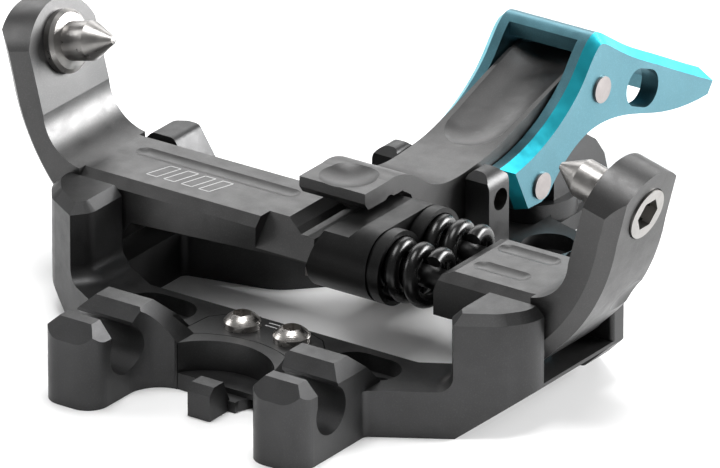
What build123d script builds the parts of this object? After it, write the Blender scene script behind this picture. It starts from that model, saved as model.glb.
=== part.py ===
from build123d import *
import math
import os

# Toe piece of a ski-touring binding, in millimetres.
# Origin: midpoint of the rear mounting-screw pair, on the flat underside.
# +X skier's right, +Y towards the ski tip (lever side), +Z up. The wings are open, ready to step in.

# ---- driving dimensions ----
deck_z = 6.76            # top of the base deck
side_x = 39.6            # half width of the deck
foot_x = 31.6            # half width where the base meets the ski
hinge_x = 34.5           # wing hinge axes, along Y
hinge_z = 11.5
hinge_r = 1.5            # wing hinge pins
barrel_r = 4.2           # wing barrels round them
bush_r = 2.1
running_gap = 0.03       # radial clearance of the running fits
wing_y0 = 9.75           # rear and front faces of the wings
wing_y1 = 25.0
pin_y = (wing_y0 + wing_y1) / 2
plate_z = 18.4           # top of the wing arms
arm_bottom_z = 12.6
knee_x = 1.0             # inner end of the left arm
right_arm_x = 21.3       # inner end of the right arm
pin_tilt = 14.5          # toe pins point this far above level while the wings are open
pin_root = (45.0, 32.6)  # where the pin axis meets the boss's inner face (X, Z)
leg_chamfer = 1.8        # bevel along the wing's outer edges
boss_t = 5.4             # thickness of the wing boss along the pin
pin_r = 2.75
pin_reach = 5.1          # inner face of the boss to the start of the cone
pin_cone = 3.5
spring_z = 15.6          # axis height of both springs
spring_gap = 9.2         # distance between the two springs
spring_r = 3.4           # mean coil radius
wire_r = 1.0
coil_pitch = 3.0
guide_r = 1.55
box_x0 = 1.9             # spring box, along X
box_x1 = 13.7
collar_x = 11.6          # the box ends in two round spring collars from here on
pocket_x = 8.5           # bottom of the spring pocket
box_z0 = 11.25
box_z1 = 19.7           # its top under the rocker
rocker_y = 42.5          # rocker pivot, along X
rocker_z = 13.9
rocker_half = 5.4        # half width of the rocker
rocker_pin_r = 1.6
lever_y = 68.65          # lever pivot on the rocker's front end
lever_z = 20.5
lever_inner = 5.65       # inside and outside faces of the lever's cheeks
lever_outer = 8.4
lever_bevel = 1.3        # bright bevel along the rear edges of the cheeks
rivet_r = 1.9
stud_y = 54.2            # lower rivet of the lever
stud_z = 11.35
tower_top = 17.8
lug_x0 = 5.75            # lugs that carry the rocker pin
lug_x1 = 9.7
lug_y0 = 39.8
lug_y1 = 44.5
screw_x = 18.5           # rear mounting screws
front_screw_x = 14.5
front_screw_y = 47.0
mount_r = 2.75
mount_head_r = 3.7
ledge_z = 2.4            # ledge under the rear arch
block_x = 12.3           # inner face of the crampon blocks
crown_r = 8.3            # rounded top of the wing boss
crown_drop = 2.2
seam = 0.12              # open seam round the cover
cover_screw_x = 4.05
cover_screw_y = 1.4


# ---- helpers ----
def block(x0, x1, y0, y1, z0, z1):
    return Pos((x0 + x1) / 2, (y0 + y1) / 2, (z0 + z1) / 2) * Box(x1 - x0, y1 - y0, z1 - z0)


def pole(x, y, z0, z1, r):
    return Pos(x, y, (z0 + z1) / 2) * Cylinder(r, z1 - z0)


def cross_bar(y, z, x0, x1, r):
    return Pos((x0 + x1) / 2, y, z) * Rot(0, 90, 0) * Cylinder(r, x1 - x0)


def long_bar(x, z, y0, y1, r):
    return Pos(x, (y0 + y1) / 2, z) * Rot(90, 0, 0) * Cylinder(r, y1 - y0)


def plan(points, z0, z1, radius=0):
    flat = [(x, y, z0) for x, y in points]
    return extrude(face_of(flat, radius), amount=z1 - z0, dir=(0, 0, 1))


def across(points, x0, x1, radius=0):
    flat = [(x0, y, z) for y, z in points]
    return extrude(face_of(flat, radius), amount=x1 - x0, dir=(1, 0, 0))


def along(points, y0, y1, radius=0):
    flat = [(x, y0, z) for x, z in points]
    return extrude(face_of(flat, radius), amount=y1 - y0, dir=(0, 1, 0))


def face_of(points, radius):
    if radius:
        return make_face(FilletPolyline(*points, radius=radius, close=True))
    return make_face(Polyline(*points, close=True))


def both_sides(shape):
    return shape + mirror(shape, about=Plane.YZ)


def mirrored(points):
    return points + [(-x, y) for x, y in reversed(points) if x]


def hex_socket(flats, depth):
    return extrude(RegularPolygon(flats / 2, 6, major_radius=False), amount=depth)


# ---- base ----
def outline_prism(z0, z1):
    edge = [(21.35, -8.2), (21.35, -6.3), (36.8, 3.1), (side_x, 6.8), (side_x, 28.3), (25.0, 38.0),
            (21.5, 45.0), (20.0, 51.5), (10.0, 54.5), (6.3, 58.5), (6.3, 73.2), (4.8, 75.9)]
    rounds = [1.2, 1.2, 5.0, 5.0] + [1.2] * 8
    return plan(mirrored(edge), z0, z1, rounds + rounds[::-1])


def opening():
    hole = [(22.0, 5.2), (29.0, 9.3), (29.0, 22.6), (15.6, 25.6), (6.2, 35.0), (6.2, 38.4)]
    rounds = [1.5, 1.5, 1.0, 7.0, 4.0, 1.0]
    return plan(mirrored(hole), -1, 20, rounds + rounds[::-1])


def flare():
    return along([(foot_x, -0.01), (foot_x + 9.6, -0.01), (foot_x + 9.6, 7.5)], -30, 60)


def deck():
    arch = pole(0, -13.1, ledge_z, deck_z + 1, 9.4)
    lever_well = plan(mirrored([(9.2, 45.3), (9.2, 55.6), (7.2, 58.6), (7.2, 80.0)]), 2.4, deck_z + 1, 0.5)
    return outline_prism(0, deck_z) - opening() - arch - both_sides(flare()) - lever_well


def rear_gap():
    corners = mirrored([(block_x, -30.0), (block_x, -8.2)])
    return plan(corners, -1, 20) - both_sides(gap_fillet())


def gap_fillet():
    r = 5.0
    return block(block_x - r, block_x + 1, -8.2 - r, -7.2, -2, 21) - pole(block_x - r, -8.2 - r, -3, 22, r)


def crampon_block():
    top = 11.9
    side = [(-21.35, 0), (-21.35, 9.5), (-19.0, top), (-17.1, top), (-17.1, deck_z), (-12.4, deck_z),
            (-12.4, 10.2), (-10.7, top), (-7.7, top), (-2.6, deck_z), (-2.6, 0)]
    body = across(side, 7.9, 21.35)
    body -= cross_bar(-14.05, deck_z, 5, 25, 3.4)
    front_lump = [(7.9, 0), (7.9, deck_z), (12.2, top), (19.5, top), (21.35, 10.0), (21.35, 0)]
    rear_lump = [(block_x, 0), (block_x, 9.6), (14.2, top), (19.5, top), (21.35, 10.0), (21.35, 0)]
    shape = along(front_lump, -14.05, -2) + along(rear_lump, -22, -14.05)
    footprint = [(4.0, -21.35), (21.35, -21.35), (21.35, -2.6), (4.0, -2.6)]
    corners = plan(footprint, 0, top, 3.2) + block(4.0, 21.35, -6.0, -2.6, 0, top)
    corners -= block(4.0, block_x, -22.0, -8.2, -1, 20) - gap_fillet() - block(4.0, block_x, -8.3, -2, -1, 20)
    rear_inner = block(block_x, block_x + 3.2, -22, -21.35 + 3.2, -1, 20)
    rear_inner -= pole(block_x + 3.2, -18.15, -2, 21, 3.2)
    return (body & shape & corners) - rear_inner


def rear_tower():
    footprint = [(29.5, 20.0), (29.5, 2.2), (34.5, -4.0), (48.0, -4.0), (48.0, 20.0)]
    reach = block(24.0, 44.0, -8.0, 12.0, deck_z - 1, tower_top)
    body = plan(footprint, deck_z - 1, tower_top, [0.5, 2.6, 2.6, 0.5, 0.5]) & reach
    body += reach & block(20.0, 46.0, -8.0, 12.0, 0, deck_z)
    foot = [e for e in body.edges() if abs(e.center().Z - deck_z) < 0.01 and 29.4 < e.center().X < 43.0
            and -7.5 < e.center().Y < 11.5]
    body = fillet(foot, 2.2) & outline_prism(0, 20)
    rim = [e for e in body.edges() if e.center().Z > tower_top - 0.1 and e.center().Y < 11.5]
    body = chamfer(rim, 1.3) & block(20.0, 44.0, -8.0, 9.2, 0, 20)
    return body - opening() - flare()


def front_post():
    front_view = [(29.5, 2.0), (29.5, 13.6), (32.6, 18.4), (36.2, 18.4), (side_x, 14.8), (side_x, 6.3),
                  (35.0, 2.0)]
    footprint = [(28.5, 25.5), (side_x, 25.5), (side_x, 28.3), (34.5, 31.5), (28.5, 31.5)]
    return along(front_view, 25.5, 31.5, 1.2) & plan(footprint, 0, 19, 0.6)


def rocker_lug():
    front_view = [(lug_x0, 0.5), (lug_x0, 18.0), (lug_x1, 18.0), (lug_x1, 0.5)]
    side_view = [(lug_y0, 0), (lug_y0, 16.9), (lug_y0 + 1.2, 18.1), (lug_y1 - 1.2, 18.1), (lug_y1, 16.9),
                 (lug_y1, 0)]
    return along(front_view, lug_y0, lug_y1, [0.2, 1.2, 2.2, 0.2]) & across(side_view, lug_x0 - 1, lug_x1 + 1)


def lock_nose():
    side = [(62.6, 0), (62.6, 11.6), (64.2, 13.6), (67.0, 13.55), (70.0, 12.6), (72.8, 10.7), (74.9, 7.9),
            (75.9, 4.6), (75.9, 0)]
    return across(side, -4.8, 4.8)


def base_plate():
    body = deck() - rear_gap() + both_sides(crampon_block()) + both_sides(rear_tower())
    body += both_sides(front_post()) + both_sides(rocker_lug())
    body += pole(0, 64.6, 0, 5.1, 6.2) + lock_nose()
    body += both_sides(pole(front_screw_x, front_screw_y, 0, deck_z, 6.0))
    for side in (-1, 1):
        body -= long_bar(side * hinge_x, hinge_z, 4.4, 33, hinge_r)
        body -= pole(side * screw_x, 0, -1, 20, mount_r) + screw_recess(side)
        body -= pole(side * front_screw_x, front_screw_y, -1, 20, mount_r)
        body -= pole(side * front_screw_x, front_screw_y, 4.4, 20, mount_head_r)
        body -= pole(side * cover_screw_x, cover_screw_y, 2.2, 20, 1.25)
    body -= cross_bar(rocker_y, rocker_z, -12, 12, rocker_pin_r)
    body -= plan(cover_outline(), 5.26, 10)
    return body - block(-4.6, 4.6, -30, 4.2, -1, 1.6)


def screw_recess(side):
    inner = screw_x - 3.4
    round_ends = pole(side * screw_x, 0, 4.4, 20, mount_head_r) + pole(side * inner, 0, 4.4, 20, mount_head_r)
    return round_ends + block(min(side * inner, side * screw_x), max(side * inner, side * screw_x),
                              -mount_head_r, mount_head_r, 4.4, 20)


def cover_outline():
    rear = [(10.2 * t / 6, -16.2 + math.sqrt(14.3 ** 2 - (10.2 * t / 6) ** 2)) for t in range(0, 7)]
    front = [(9.6, 1.4), (7.6, 3.7), (3.6, 5.2)]
    return mirrored(rear + front)


def bridge_cover():
    outline = offset(face_of([(x, y, 5.26) for x, y in cover_outline()], 0), amount=-seam)
    cover = extrude(outline, amount=deck_z - 5.26, dir=(0, 0, 1))
    for side in (-1, 1):
        cover -= pole(side * cover_screw_x, cover_screw_y, 5, 7, 1.4)
    return cover


def bridge_screws():
    screws = Part()
    head = Cylinder(2.55, 2.4, align=(Align.CENTER, Align.CENTER, Align.MIN)) & Pos(0, 0, -0.85) * Sphere(3.05)
    screw = head + Pos(0, 0, -2.2) * Cylinder(1.25, 4.4) - Pos(0, 0, 0.7) * hex_socket(2.4, 2)
    for side in (-1, 1):
        screws += Pos(side * cover_screw_x, cover_screw_y, deck_z) * screw
    return screws


def crampon_stop():
    tongue = plan(mirrored([(4.5, 4.1), (4.5, -6.0), (3.0, -9.5), (3.0, -10.2)]), 0.05, 1.6)
    lug = across([(-14.4, 0.05), (-14.4, 3.7), (-13.4, 4.7), (-11.2, 4.7), (-9.8, 1.6), (-9.8, 0.05)], -1.8, 1.8)
    return tongue + lug


# ---- wings ----
def wing_profile(inner_x, end_bottom_z):
    tilt = math.radians(pin_tilt)
    inward = (-math.cos(tilt), math.sin(tilt))
    up = (math.sin(tilt), math.cos(tilt))

    def place(outward, rise):
        x = pin_root[0] - outward * inward[0] + rise * up[0]
        z = pin_root[1] - outward * inward[1] + rise * up[1]
        return (x, 0, z)

    top_in = place(0, 8.4)
    top_out = place(boss_t, 8.4)
    heel = place(boss_t, -3.0)
    inner_low = place(0, -8.0)
    foot = (41.0, 0, 12.0)
    edge = Polyline((foot[0], 0, foot[2]), (37.6, 0, 8.6), (31.0, 0, 9.2), (28.4, 0, arm_bottom_z),
                    (max(0.0, inner_x) + 2.6, 0, end_bottom_z), (inner_x, 0, end_bottom_z), (inner_x, 0, 15.4),
                    (inner_x + 1.2, 0, plate_z), (36.2, 0, plate_z))
    bend = ThreePointArc((36.2, 0, plate_z), (41.4, 0, 20.9), inner_low)
    head = Polyline(inner_low, top_in, top_out, heel)
    outer = ThreePointArc(heel, (46.7, 0, 20.0), foot)
    return make_face(Curve() + [edge, bend, head, outer])


def pin_frame(y=pin_y):
    tilt = math.radians(pin_tilt)
    return Plane(origin=(pin_root[0], y, pin_root[1]), x_dir=(0, 1, 0),
                 z_dir=(-math.cos(tilt), 0, math.sin(tilt)))


def is_outer_edge(edge):
    middle = edge @ 0.5
    on_face = min(abs(middle.Y - wing_y0), abs(middle.Y - wing_y1)) < 0.01
    return on_face and middle.X > 44.0 and middle.X - 0.25 * middle.Z > 38.6


def wing_solid(inner_x, end_bottom_z):
    flat = wing_profile(inner_x, end_bottom_z)
    body = extrude(Pos(0, wing_y0, 0) * flat, amount=wing_y1 - wing_y0, dir=(0, 1, 0))
    outer = [edge for edge in body.edges() if is_outer_edge(edge)]
    body = chamfer(outer, leg_chamfer)
    body += long_bar(hinge_x, hinge_z, wing_y0, wing_y1, barrel_r)
    frame = pin_frame()
    body -= frame * (Pos(0, -16, 0) * Box(40, 30, 40) - Pos(0, crown_drop, 0) * Cylinder(crown_r, 60))
    body -= chamfer_cuts(inner_x)
    body -= Pos(51.6, 21.3, 11.7) * Sphere(9.0)
    body -= long_bar(hinge_x, hinge_z, wing_y0 - 1, wing_y1 + 1, bush_r)
    body -= frame * (Pos(0, 0, -boss_t / 2) * Cylinder(2.2, boss_t + 2))
    return body - frame * (Pos(0, 0, -boss_t) * Cylinder(3.75, 1.8))


def chamfer_cuts(inner_x):
    cut = 1.3
    rear = [(wing_y0 - 1, plate_z + 1), (wing_y0 - 1, plate_z - cut - 1), (wing_y0 + cut + 1, plate_z + 1)]
    front = [(wing_y1 + 1, plate_z + 1), (wing_y1 + 1, plate_z - cut - 1), (wing_y1 - cut - 1, plate_z + 1)]
    return across(rear, inner_x - 1, 37.0) + across(front, inner_x - 1, 37.0)


def left_wing():
    body = wing_solid(-knee_x, 14.0)
    body -= top_groove(9.0, 33.0, 19.6)
    body -= across([(wing_y0 - 1, 13.0), (wing_y0 - 1, plate_z + 1), (wing_y0 + 4.2, plate_z + 1)], -2, 7.8)
    body -= long_bar(-0.6, plate_z + 7.4, wing_y0 - 1, wing_y1 + 1, 9.0)
    body -= along([(-knee_x - 1, 16.9), (1.8, 16.9), (4.6, plate_z + 0.1), (-knee_x - 1, plate_z + 0.1)],
                  wing_y0 - 1, 22.6)
    return mirror(body, about=Plane.YZ)


def top_groove(x0, x1, y):
    r = 3.0
    z = plate_z + r - 0.35
    return cross_bar(y, z, x0, x1, r) + Pos(x0, y, z) * Sphere(r) + Pos(x1, y, z) * Sphere(r)


def right_wing():
    body = wing_solid(right_arm_x, 11.9)
    body -= top_groove(25.5, 32.5, 21.2) + top_groove(26.0, 32.0, 14.8)
    body -= long_bar(right_arm_x - 1.0, plate_z + 7.4, wing_y0 - 1, wing_y1 + 1, 8.2)
    for side in (-1, 1):
        y = pin_y + side * spring_gap / 2
        body -= cross_bar(y, spring_z, right_arm_x - 1, right_arm_x + 6, guide_r)
    return body


def wing_bushes():
    bushes = Part()
    for y0, y1 in ((wing_y0, wing_y0 + 4.5), (wing_y1 - 4.5, wing_y1)):
        bushes += long_bar(hinge_x, hinge_z, y0, y1, bush_r) - long_bar(hinge_x, hinge_z, y0, y1, hinge_r + running_gap)
    return bushes


def hinge_pin():
    return long_bar(hinge_x, hinge_z, 4.4, 30.4, hinge_r)


def toe_pin():
    tip = pin_reach + pin_cone
    outline = [(0, -boss_t - 0.3), (3.6, -boss_t - 0.3), (3.6, -boss_t + 0.9), (2.2, -boss_t + 0.9), (2.2, 0),
               (4.45, 0), (4.45, 0.9), (3.9, 1.3), (pin_r, 1.6), (pin_r, pin_reach), (0.55, tip), (0, tip + 0.15)]
    body = revolve(face_of([(r, 0, z) for r, z in outline], 0), Axis.Z)
    body -= Pos(0, 0, -boss_t - 0.3) * hex_socket(4.0, 2.6)
    return pin_frame() * body


# ---- springs between the wings ----
def coil(y):
    length = right_arm_x - pocket_x - 2 * wire_r - 0.1
    path = Helix(coil_pitch, length, spring_r)
    section = Plane(origin=path @ 0, z_dir=path % 0) * Circle(wire_r)
    turns = sweep(section, path=path)
    return Pos(pocket_x + wire_r + 0.05, y, spring_z) * Rot(0, 90, 0) * turns


def guide_rod(y):
    return cross_bar(y, spring_z, box_x0 + 0.6, right_arm_x + 6, guide_r)


def spring_box():
    sleeve_r = spring_r + wire_r + 0.65
    half = spring_gap / 2 + sleeve_r
    front_view = [(pin_y - half, spring_z - sleeve_r), (pin_y - half, spring_z + sleeve_r),
                  (pin_y + half, spring_z + sleeve_r), (pin_y + half, spring_z - sleeve_r)]
    body = across(front_view, box_x0, collar_x, sleeve_r - 0.3)
    for side in (-1, 1):
        y = pin_y + side * spring_gap / 2
        body += cross_bar(y, spring_z, collar_x - 0.5, collar_x + 0.5, sleeve_r - 0.2)
        body += cross_bar(y, spring_z, collar_x + 0.5, box_x1, sleeve_r + 0.15)
    body -= along([(box_x0 - 1, 14.8), (box_x0, 14.8), (box_x0 + 1.7, box_z1), (7.6, box_z1), (8.8, box_z1 + 1.4),
                   (8.8, 23), (box_x0 - 1, 23)], pin_y - half - 1, pin_y + half + 1)
    body -= block(box_x0 - 1, pocket_x - 0.7, pin_y + 8.85, pin_y + half + 1, 0, 30)
    body -= block(box_x0 - 1, pocket_x - 0.7, pin_y - half - 1, pin_y + half + 1, 0, box_z0)
    pocket_r = spring_r + wire_r + 0.12
    for side in (-1, 1):
        y = pin_y + side * spring_gap / 2
        body -= cross_bar(y, spring_z, pocket_x, box_x1 + 1, pocket_r)
        body -= cross_bar(y, spring_z, box_x0 - 1, pocket_x + 1, guide_r + running_gap)
    return body


# ---- rocker and lever ----
def rocker_profile():
    top = [(66.6, 24.1), (60.5, 22.3), (52.3, 19.8), (46.0, 18.2), (41.4, 17.7), (36.7, 17.6), (32.6, 18.6),
           (29.0, 20.9), (25.6, 22.6), (22.0, 22.9)]
    under = [(22.0, 22.9), (16.6, 22.9), (16.6, 21.4), (17.4, 20.35), (25.4, 20.3), (27.4, 19.0), (29.0, 15.6),
             (30.6, 11.9), (33.0, 10.8), (38.2, 10.8), (42.5, 10.5), (46.6, 12.2), (52.4, 14.8), (58.0, 16.4),
             (66.6, 16.9), (66.6, 24.1)]
    at = [[(-rocker_half, y, z) for y, z in line] for line in (top, under)]
    return make_face(Curve() + [Spline(*at[0]), Polyline(*at[1])])


def rocker():
    body = extrude(rocker_profile(), amount=2 * rocker_half, dir=(1, 0, 0))
    body += cross_bar(lever_y, lever_z, -rocker_half, rocker_half, 3.9)
    body -= Pos(0, 20.4, 22.9 + 7.6) * Sphere(8.6)
    rise = math.degrees(math.atan2(24.1 - 18.2, 66.6 - 46.0))
    trough_r = 10.0
    trough = Rot(90, 0, 0) * Cylinder(trough_r, 24) + Pos(0, -12, 0) * Sphere(trough_r)
    body -= Pos(0, 60.0, 22.2 + trough_r - 0.9) * Rot(rise, 0, 0) * trough
    body -= cross_bar(22.4, 19.3, -8, 8, 1.4)
    body -= cross_bar(rocker_y, rocker_z, -8, 8, bush_r + 0.3)
    return body - cross_bar(lever_y, lever_z, -8, 8, rivet_r)


def rocker_bushes():
    bushes = Part()
    for x0, x1 in ((-rocker_half, -1.2), (1.2, rocker_half)):
        bushes += (cross_bar(rocker_y, rocker_z, x0, x1, bush_r + 0.3)
                   - cross_bar(rocker_y, rocker_z, x0, x1, rocker_pin_r + running_gap))
    return bushes


def rocker_pin():
    return cross_bar(rocker_y, rocker_z, -lug_x1 + 1.8, lug_x1 - 1.8, rocker_pin_r)


def wing_lifter():
    side = [(16.0, 8.8), (16.0, 10.0), (18.2, 10.0), (20.0, 8.2), (26.0, 7.9), (29.6, 9.6), (32.0, 10.8),
            (38.0, 10.8), (38.0, 9.6), (32.6, 9.5), (29.8, 8.2), (26.4, 6.7), (20.0, 6.9), (17.8, 8.8)]
    return across(side, -4.0, 4.0)


def lever_profile():
    back = [(46.0, 16.4), (52.5, 17.6), (58.5, 20.2), (63.4, 24.0), (66.2, 27.2), (68.4, 28.5), (71.6, 27.2),
            (77.0, 23.7), (82.4, 20.8), (90.2, 16.6), (94.6, 14.3)]
    tip = [(94.6, 14.3), (96.3, 12.0), (95.0, 10.4)]
    under = [(95.0, 10.4), (90.2, 10.6), (83.1, 11.9), (75.8, 14.2), (70.3, 15.3), (65.8, 15.2), (59.9, 12.8),
             (56.0, 9.4)]
    heel = [(56.0, 9.4), (54.2, 8.9), (49.6, 9.1), (46.0, 16.4)]
    curves = [Spline(*at_side(back)), Spline(*at_side(under))]
    return make_face(Curve() + curves + [Polyline(*at_side(tip)), Polyline(*at_side(heel))])


def at_side(line):
    return [(-lever_outer, y, z) for y, z in line]


def is_bevelled(edge):
    middle = edge @ 0.5
    on_side = abs(abs(middle.X) - lever_outer) < 0.01
    return on_side and (middle.Y < 48.5 or (edge.length > 45 and middle.Z > 16))


def lever_fork():
    body = extrude(lever_profile(), amount=2 * lever_outer, dir=(1, 0, 0))
    bevel = [edge for edge in body.edges() if is_bevelled(edge)]
    body = chamfer(bevel, lever_bevel)
    inside = [(40, 0), (40, 40), (66.8, 40), (66.9, 25.8), (69.4, 26.6), (72.2, 24.6), (77.0, 21.5), (82.4, 18.6),
              (89.0, 15.0), (91.0, 12.6), (91.0, 0)]
    body -= across(inside, -lever_inner, lever_inner)
    slot = Rot(-22.6, 0, 0) * block(-12, 12, -1.3, 1.3, -2.7, 2.7)
    body -= cross_bar(77.6, 17.6, -12, 12, 2.7) + cross_bar(80.0, 16.6, -12, 12, 2.7) + Pos(0, 78.8, 17.1) * slot
    body -= cross_bar(lever_y, lever_z, -12, 12, rivet_r + running_gap)
    return body - cross_bar(stud_y, stud_z, -12, 12, rivet_r)


def rivet(y, z):
    half = lever_outer + 0.35
    return cross_bar(y, z, -half, half, rivet_r)


nodes = {
    "base_plate": base_plate,
    "bridge_cover": bridge_cover,
    "bridge_screws": bridge_screws,
    "crampon_stop": crampon_stop,
    "left_hinge_pin": lambda: mirror(hinge_pin(), about=Plane.YZ),
    "right_hinge_pin": hinge_pin,
    "rocker_pivot_pin": rocker_pin,
    "left_wing_arm": left_wing,
    "left_wing_bushes": lambda: mirror(wing_bushes(), about=Plane.YZ),
    "left_toe_pin": lambda: mirror(toe_pin(), about=Plane.YZ),
    "right_wing_arm": right_wing,
    "right_wing_bushes": wing_bushes,
    "right_toe_pin": toe_pin,
    "rear_spring_guide": lambda: guide_rod(pin_y - spring_gap / 2),
    "front_spring_guide": lambda: guide_rod(pin_y + spring_gap / 2),
    "rear_spring": lambda: coil(pin_y - spring_gap / 2),
    "front_spring": lambda: coil(pin_y + spring_gap / 2),
    "spring_box": spring_box,
    "rocker_arm": rocker,
    "rocker_bushes": rocker_bushes,
    "wing_lifter": wing_lifter,
    "lever_fork": lever_fork,
    "upper_rivet": lambda: rivet(lever_y, lever_z),
    "lower_rivet": lambda: rivet(stud_y, stud_z),
}

os.makedirs("parts", exist_ok=True)
for name, make in nodes.items():
    export_step(make(), f"parts/{name}.step")
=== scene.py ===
import math

import bmesh
import bpy
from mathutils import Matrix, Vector
from mathutils.bvhtree import BVHTree


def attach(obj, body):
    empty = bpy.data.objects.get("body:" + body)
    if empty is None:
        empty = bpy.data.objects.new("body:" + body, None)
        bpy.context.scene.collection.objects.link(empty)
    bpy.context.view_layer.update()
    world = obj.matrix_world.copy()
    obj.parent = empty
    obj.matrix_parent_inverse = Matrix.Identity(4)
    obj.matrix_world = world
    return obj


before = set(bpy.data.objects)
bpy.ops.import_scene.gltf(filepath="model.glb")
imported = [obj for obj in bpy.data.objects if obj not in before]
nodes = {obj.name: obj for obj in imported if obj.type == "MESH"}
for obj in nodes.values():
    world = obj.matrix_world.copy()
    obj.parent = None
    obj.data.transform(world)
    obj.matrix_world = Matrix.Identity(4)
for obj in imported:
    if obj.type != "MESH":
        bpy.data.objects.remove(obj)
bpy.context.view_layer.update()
scene = bpy.context.scene
MM = 0.001

# ---- camera ----
AZIMUTH = math.radians(34.99)
ELEVATION = math.radians(24.05)
TARGET = Vector((0.0, 17.4, 12.0)) * MM     # between the toe pins, just above the hinge pins
AIM_OFFSET = Vector((3.29, 3.12)) * MM      # the view's centre lies right of and above the target
CAMERA_DISTANCE = 2.0
LENS = 742.6

# ---- shared sizes ----
PIN_TILT = math.radians(14.5)        # toe pins point this far above level at rest
EDGE_RADIUS = 0.22 * MM              # machined radius on crisp edges
CRISP_ANGLE = math.radians(28)       # edges sharper than this get it
MARK_SINK = 0.05 * MM                # strokes reach this far into the surface
MARK_RAISE = 0.02 * MM               # and stand this far above it
FLOOR_SIZE = 3.0
FLOOR_GAP = 0.02 * MM
LAMP_DISTANCE = 1.2
EDGED_NODES = ("base_plate", "left_wing_arm", "right_wing_arm", "rocker_arm", "lever_fork", "spring_box",
               "crampon_stop", "bridge_cover", "wing_lifter")


def view_axes():
    right = Vector((math.cos(AZIMUTH), math.sin(AZIMUTH), 0))
    forward = Vector((-math.sin(AZIMUTH) * math.cos(ELEVATION), math.cos(AZIMUTH) * math.cos(ELEVATION),
                      -math.sin(ELEVATION)))
    return right, forward, right.cross(forward)


def add_camera():
    right, forward, up = view_axes()
    data = bpy.data.cameras.new("camera")
    data.lens = LENS
    data.sensor_width = 36
    data.clip_start = 0.1
    data.clip_end = 20
    data.dof.use_dof = False
    camera = bpy.data.objects.new("camera", data)
    camera.rotation_mode = "QUATERNION"
    camera.rotation_quaternion = forward.to_track_quat("-Z", "Y")
    aim = TARGET + right * AIM_OFFSET.x + up * AIM_OFFSET.y
    camera.location = aim - forward * CAMERA_DISTANCE
    scene.collection.objects.link(camera)
    scene.camera = camera


# ---- node building ----
def new_material(name):
    material = bpy.data.materials.new(name)
    material.use_nodes = True
    tree = material.node_tree
    tree.nodes.clear()
    output = tree.nodes.new("ShaderNodeOutputMaterial")
    shader = tree.nodes.new("ShaderNodeBsdfPrincipled")
    tree.links.new(shader.outputs["BSDF"], output.inputs["Surface"])
    return material, tree, shader


def place(tree):
    return tree.nodes.new("ShaderNodeTexCoord").outputs["Object"]


def noise(tree, vector, scale, detail=2.0, roughness=0.5):
    node = tree.nodes.new("ShaderNodeTexNoise")
    node.inputs["Scale"].default_value = scale
    node.inputs["Detail"].default_value = detail
    node.inputs["Roughness"].default_value = roughness
    tree.links.new(vector, node.inputs["Vector"])
    return node.outputs["Fac"]


def mapped(tree, value, low, high, from_low=0.3, from_high=0.7):
    node = tree.nodes.new("ShaderNodeMapRange")
    node.inputs["From Min"].default_value = from_low
    node.inputs["From Max"].default_value = from_high
    node.inputs["To Min"].default_value = low
    node.inputs["To Max"].default_value = high
    tree.links.new(value, node.inputs["Value"])
    return node.outputs["Result"]


def mixed(tree, share, first, second):
    node = tree.nodes.new("ShaderNodeMix")
    node.data_type = "RGBA"
    tree.links.new(share, node.inputs["Factor"])
    for socket, value in (("A", first), ("B", second)):
        place_in = [s for s in node.inputs if s.name == socket and s.type == "RGBA"][0]
        if isinstance(value, tuple):
            place_in.default_value = (*value, 1)
        else:
            tree.links.new(value, place_in)
    return [s for s in node.outputs if s.type == "RGBA"][0]


def bump(tree, height, strength, distance, below=None):
    node = tree.nodes.new("ShaderNodeBump")
    node.inputs["Strength"].default_value = strength
    node.inputs["Distance"].default_value = distance
    tree.links.new(height, node.inputs["Height"])
    if below:
        tree.links.new(below, node.inputs["Normal"])
    return node.outputs["Normal"]


# ---- materials ----
def blasted_metal(name, dark, light, rough, metallic=0.9, grain=0.5):
    """Bead-blasted and anodised aluminium: fine grain, soft clouding and slightly uneven gloss."""
    material, tree, shader = new_material(name)
    where = place(tree)
    cloud = noise(tree, where, 70, 3)
    blast = noise(tree, where, 5200, 2, 0.6)
    handling = noise(tree, where, 420, 4, 0.65)
    tint = mixed(tree, mapped(tree, cloud, 0, 1), dark, light)
    fleck = mapped(tree, blast, 0.0, 0.22, 0.52, 0.8)
    tree.links.new(mixed(tree, fleck, tint, tuple(min(1, c * 1.9 + 0.01) for c in light)),
                   shader.inputs["Base Color"])
    tree.links.new(mapped(tree, handling, rough - 0.05, rough + 0.07), shader.inputs["Roughness"])
    shader.inputs["Metallic"].default_value = metallic
    soft = bump(tree, cloud, 0.05, 0.4 * MM)
    tree.links.new(bump(tree, blast, grain, 0.012 * MM, soft), shader.inputs["Normal"])
    return material


def paint_bevel_highlights(material, colour):
    """Bevels at 45 degrees to the side faces get a purer, brighter colour: a painted highlight for the
    light these bevels catch.
    """
    tree = material.node_tree
    shader = next(node for node in tree.nodes if node.type == "BSDF_PRINCIPLED")
    split = tree.nodes.new("ShaderNodeSeparateXYZ")
    tree.links.new(tree.nodes.new("ShaderNodeTexCoord").outputs["Normal"], split.inputs[0])
    sideways = tree.nodes.new("ShaderNodeMath")
    sideways.operation = "ABSOLUTE"
    tree.links.new(split.outputs["X"], sideways.inputs[0])
    # mask of faces whose normal is near 45 degrees from X; these get the painted highlight colour
    bevel_highlight_mask = tree.nodes.new("ShaderNodeMath")
    bevel_highlight_mask.operation = "COMPARE"
    bevel_highlight_mask.inputs[1].default_value = 0.70
    bevel_highlight_mask.inputs[2].default_value = 0.16
    tree.links.new(sideways.outputs[0], bevel_highlight_mask.inputs[0])
    base = shader.inputs["Base Color"].links[0].from_socket
    tree.links.new(mixed(tree, bevel_highlight_mask.outputs[0], base, colour), shader.inputs["Base Color"])
    return material


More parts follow.
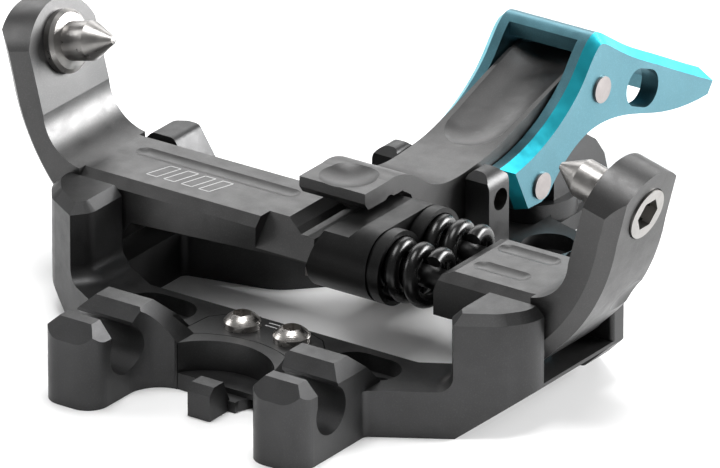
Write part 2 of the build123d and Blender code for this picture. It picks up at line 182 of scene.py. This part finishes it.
def turned_steel(name, colour, axis, pitch, rough=0.2):
    """Bright steel turned on a lathe: rings square to the axis, with fine scratches between them."""
    material, tree, shader = new_material(name)
    where = place(tree)
    along = tree.nodes.new("ShaderNodeVectorMath")
    along.operation = "DOT_PRODUCT"
    along.inputs[1].default_value = axis
    tree.links.new(where, along.inputs[0])
    phase = tree.nodes.new("ShaderNodeMath")
    phase.operation = "MULTIPLY"
    phase.inputs[1].default_value = 2 * math.pi / pitch
    tree.links.new(along.outputs["Value"], phase.inputs[0])
    rings = tree.nodes.new("ShaderNodeMath")
    rings.operation = "SINE"
    tree.links.new(phase.outputs[0], rings.inputs[0])
    smear = noise(tree, where, 900, 3)
    worn = noise(tree, where, 160, 4, 0.6)
    tree.links.new(mixed(tree, mapped(tree, worn, 0, 1), colour, tuple(c * 0.82 for c in colour)),
                   shader.inputs["Base Color"])
    tree.links.new(mapped(tree, smear, rough - 0.06, rough + 0.12), shader.inputs["Roughness"])
    shader.inputs["Metallic"].default_value = 1.0
    fine = bump(tree, smear, 0.15, 0.02 * MM)
    tree.links.new(bump(tree, rings.outputs[0], 0.35, 0.008 * MM, fine), shader.inputs["Normal"])
    return material


def moulded_polymer(name, colour):
    material, tree, shader = new_material(name)
    where = place(tree)
    cloud = noise(tree, where, 180, 3)
    grain = noise(tree, where, 3500, 3, 0.7)
    tree.links.new(mixed(tree, mapped(tree, cloud, 0, 1), colour, tuple(c * 1.6 + 0.004 for c in colour)),
                   shader.inputs["Base Color"])
    tree.links.new(mapped(tree, cloud, 0.42, 0.55), shader.inputs["Roughness"])
    tree.links.new(bump(tree, grain, 0.3, 0.01 * MM), shader.inputs["Normal"])
    return material


BASE_METAL = blasted_metal("base_metal_blasted", (0.043, 0.043, 0.043), (0.058, 0.058, 0.059), 0.42)
WING_METAL = blasted_metal("wing_metal_blasted", (0.060, 0.060, 0.060), (0.082, 0.081, 0.081), 0.40)
BOX_METAL = blasted_metal("box_metal_blasted", (0.012, 0.012, 0.012), (0.020, 0.020, 0.020), 0.42)
LEVER_METAL = blasted_metal("lever_metal_anodised", (0.070, 0.172, 0.208), (0.090, 0.205, 0.245),
                            0.36, 0.95, 0.35)
# painted highlight: brighter, purer cyan on the lever's 45-degree bevels, where they catch the light
paint_bevel_highlights(LEVER_METAL, (0.02, 0.37, 0.46))
GUIDE_STEEL = turned_steel("guide_steel_oxide", (0.060, 0.060, 0.060), (1, 0, 0), 0.30 * MM, 0.36)
SPRING_STEEL = blasted_metal("spring_steel_oxide", (0.024, 0.024, 0.024), (0.040, 0.040, 0.040),
                             0.28, 0.9, 0.25)
CROSS_STEEL = turned_steel("cross_pin_steel", (0.27, 0.25, 0.245), (1, 0, 0), 0.22 * MM, 0.42)
LONG_STEEL = turned_steel("hinge_pin_steel", (0.42, 0.41, 0.40), (0, 1, 0), 0.25 * MM, 0.30)
SCREW_STEEL = turned_steel("screw_steel", (0.46, 0.44, 0.42), (0, 0, 1), 0.2 * MM, 0.26)
MARK_GREY = blasted_metal("laser_mark_grey", (0.38, 0.38, 0.38), (0.46, 0.46, 0.46), 0.55, 0.2, 0.3)
MARK_PALE = blasted_metal("laser_mark_pale", (0.60, 0.66, 0.68), (0.70, 0.75, 0.77), 0.55, 0.2, 0.3)
POLYMER = moulded_polymer("bush_polymer_black", (0.012, 0.012, 0.013))


def toe_pin_steel(side):
    inward = 1 if side == "left" else -1
    axis = (inward * math.cos(PIN_TILT), 0, math.sin(PIN_TILT))
    return turned_steel(f"toe_pin_steel_{side}", (0.33, 0.32, 0.31), axis, 0.60 * MM, 0.33)


FINISHES = {
    "base_plate": BASE_METAL, "bridge_cover": BASE_METAL, "crampon_stop": BASE_METAL,
    "bridge_screws": SCREW_STEEL,
    "left_hinge_pin": LONG_STEEL, "right_hinge_pin": LONG_STEEL,
    "rocker_pivot_pin": CROSS_STEEL, "upper_rivet": CROSS_STEEL, "lower_rivet": CROSS_STEEL,
    "rear_spring_guide": GUIDE_STEEL, "front_spring_guide": GUIDE_STEEL, "wing_lifter": CROSS_STEEL,
    "left_wing_arm": WING_METAL, "right_wing_arm": WING_METAL, "rocker_arm": WING_METAL,
    "left_wing_bushes": POLYMER, "right_wing_bushes": POLYMER, "rocker_bushes": POLYMER,
    "left_toe_pin": toe_pin_steel("left"), "right_toe_pin": toe_pin_steel("right"),
    "rear_spring": SPRING_STEEL, "front_spring": SPRING_STEEL,
    "spring_box": BOX_METAL, "lever_fork": LEVER_METAL,
}


def dress_nodes():
    for name, finish in FINISHES.items():
        mesh = nodes[name].data
        mesh.materials.clear()
        mesh.materials.append(finish)


def soften_edges(name, width):
    """Small machined radius on every crisp edge of a CAD node."""
    piece = nodes[name]
    bevel = piece.modifiers.new("edge_radius", "BEVEL")
    bevel.width = width
    bevel.segments = 2
    bevel.limit_method = "ANGLE"
    bevel.angle_limit = CRISP_ANGLE
    bevel.use_clamp_overlap = True
    bevel.harden_normals = False


# ---- generic marks, thin strokes laid on a surface ----
def surface_height(tree, x, y):
    hit = tree.ray_cast(Vector((x, y, 0.1)), Vector((0, 0, -1)))
    return hit[0].z


def stroke(build, tree, start, end, width):
    """One straight stroke that follows the surface below it."""
    steps = 6
    way = Vector(end) - Vector(start)
    across = Vector((-way.y, way.x)).normalized() * width / 2
    rows = []
    for step in range(steps + 1):
        centre = Vector(start) + way * step / steps
        row = []
        for side in (-1, 1):
            x, y = centre + across * side
            z = surface_height(tree, x, y)
            row.append((build.verts.new((x, y, z - MARK_SINK)), build.verts.new((x, y, z + MARK_RAISE))))
        rows.append(row)
    for (a, b), (c, d) in zip(rows, rows[1:]):
        build.faces.new((a[1], c[1], d[1], b[1]))
        build.faces.new((a[0], c[0], c[1], a[1]))
        build.faces.new((b[1], d[1], d[0], b[0]))
        build.faces.new((a[0], b[0], d[0], c[0]))
    for row in (rows[0], rows[-1]):
        (low_a, high_a), (low_b, high_b) = row
        build.faces.new((low_a, high_a, high_b, low_b))


def mark(name, node, body, lines, width, finish):
    tree = BVHTree.FromObject(nodes[node], bpy.context.evaluated_depsgraph_get())
    build = bmesh.new()
    for line in lines:
        for start, end in zip(line, line[1:]):
            stroke(build, tree, [v * MM for v in start], [v * MM for v in end], width)
    bmesh.ops.recalc_face_normals(build, faces=build.faces)
    mesh = bpy.data.meshes.new(name)
    build.to_mesh(mesh)
    build.free()
    mesh.materials.append(finish)
    piece = bpy.data.objects.new(name, mesh)
    scene.collection.objects.link(piece)
    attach(piece, body)


def slanted_bars(x, y, count, bar, pitch, height, lean):
    """Outlines of leaning bars in a row, starting at x and centred on y."""
    lines = []
    for turn in range(count):
        left = x + turn * pitch
        low, high = y - height / 2, y + height / 2
        lines.append([(left, low), (left + bar, low), (left + bar + lean, high), (left + lean, high),
                      (left, low)])
    return lines


def add_marks():
    lines = slanted_bars(-28.6, 15.6, 4, 1.7, 2.9, 4.0, 1.2)
    mark("arm_mark", "left_wing_arm", "left_wing", lines, 0.16 * MM, MARK_GREY)
    rows = [[(-4.2 + 0.9 * turn, 72.0 + 1.1 * turn), (4.2 - 0.9 * turn, 72.0 + 1.1 * turn)]
            for turn in range(4)]
    mark("lever_mark", "lever_fork", "lever", rows, 0.30 * MM, MARK_PALE)
    dashes = [[(-1.6, 4.2 - 0.9 * turn), (1.4, 4.2 - 0.9 * turn)] for turn in range(2)]
    mark("cover_mark", "bridge_cover", "base", dashes, 0.22 * MM, MARK_GREY)


# ---- stage ----
def add_floor():
    mesh = bpy.data.meshes.new("floor")
    build = bmesh.new()
    bmesh.ops.create_grid(build, x_segments=1, y_segments=1, size=FLOOR_SIZE)
    build.to_mesh(mesh)
    build.free()
    floor = bpy.data.objects.new("floor", mesh)
    floor.location.z = -FLOOR_GAP
    scene.collection.objects.link(floor)
    material, tree, shader = new_material("floor_paper")
    shader.inputs["Base Color"].default_value = (0.93, 0.93, 0.93, 1)
    shader.inputs["Roughness"].default_value = 0.9
    mesh.materials.append(material)


def add_softbox(name, azimuth, elevation, width, height, power):
    """A rectangular soft light that faces the object; azimuth 0 stands at -Y, 90 at +X."""
    data = bpy.data.lights.new(name, "AREA")
    data.shape = "RECTANGLE"
    data.size = width
    data.size_y = height
    data.energy = power
    lamp = bpy.data.objects.new(name, data)
    a = math.radians(azimuth)
    e = math.radians(elevation)
    away = Vector((math.sin(a) * math.cos(e), -math.cos(a) * math.cos(e), math.sin(e)))
    lamp.location = TARGET + away * LAMP_DISTANCE
    lamp.rotation_mode = "QUATERNION"
    lamp.rotation_quaternion = (-away).to_track_quat("-Z", "Y")
    scene.collection.objects.link(lamp)


def add_light():
    world = bpy.data.worlds.new("studio")
    world.use_nodes = True
    background = world.node_tree.nodes["Background"]
    background.inputs["Color"].default_value = (1, 1, 1, 1)
    background.inputs["Strength"].default_value = 0.27
    scene.world = world
    scene.view_settings.view_transform = "Standard"
    add_softbox("back_softbox", 215, 32, 1.2, 0.7, 8.5)
    add_softbox("top_softbox", 0, 88, 0.6, 0.6, 12)
    add_softbox("right_softbox", 143, 13, 0.9, 0.5, 40)
    add_softbox("left_softbox", 290, 25, 0.5, 0.5, 4)


add_camera()
dress_nodes()
for node_name in EDGED_NODES:
    soften_edges(node_name, EDGE_RADIUS)
add_marks()
add_floor()
add_light()
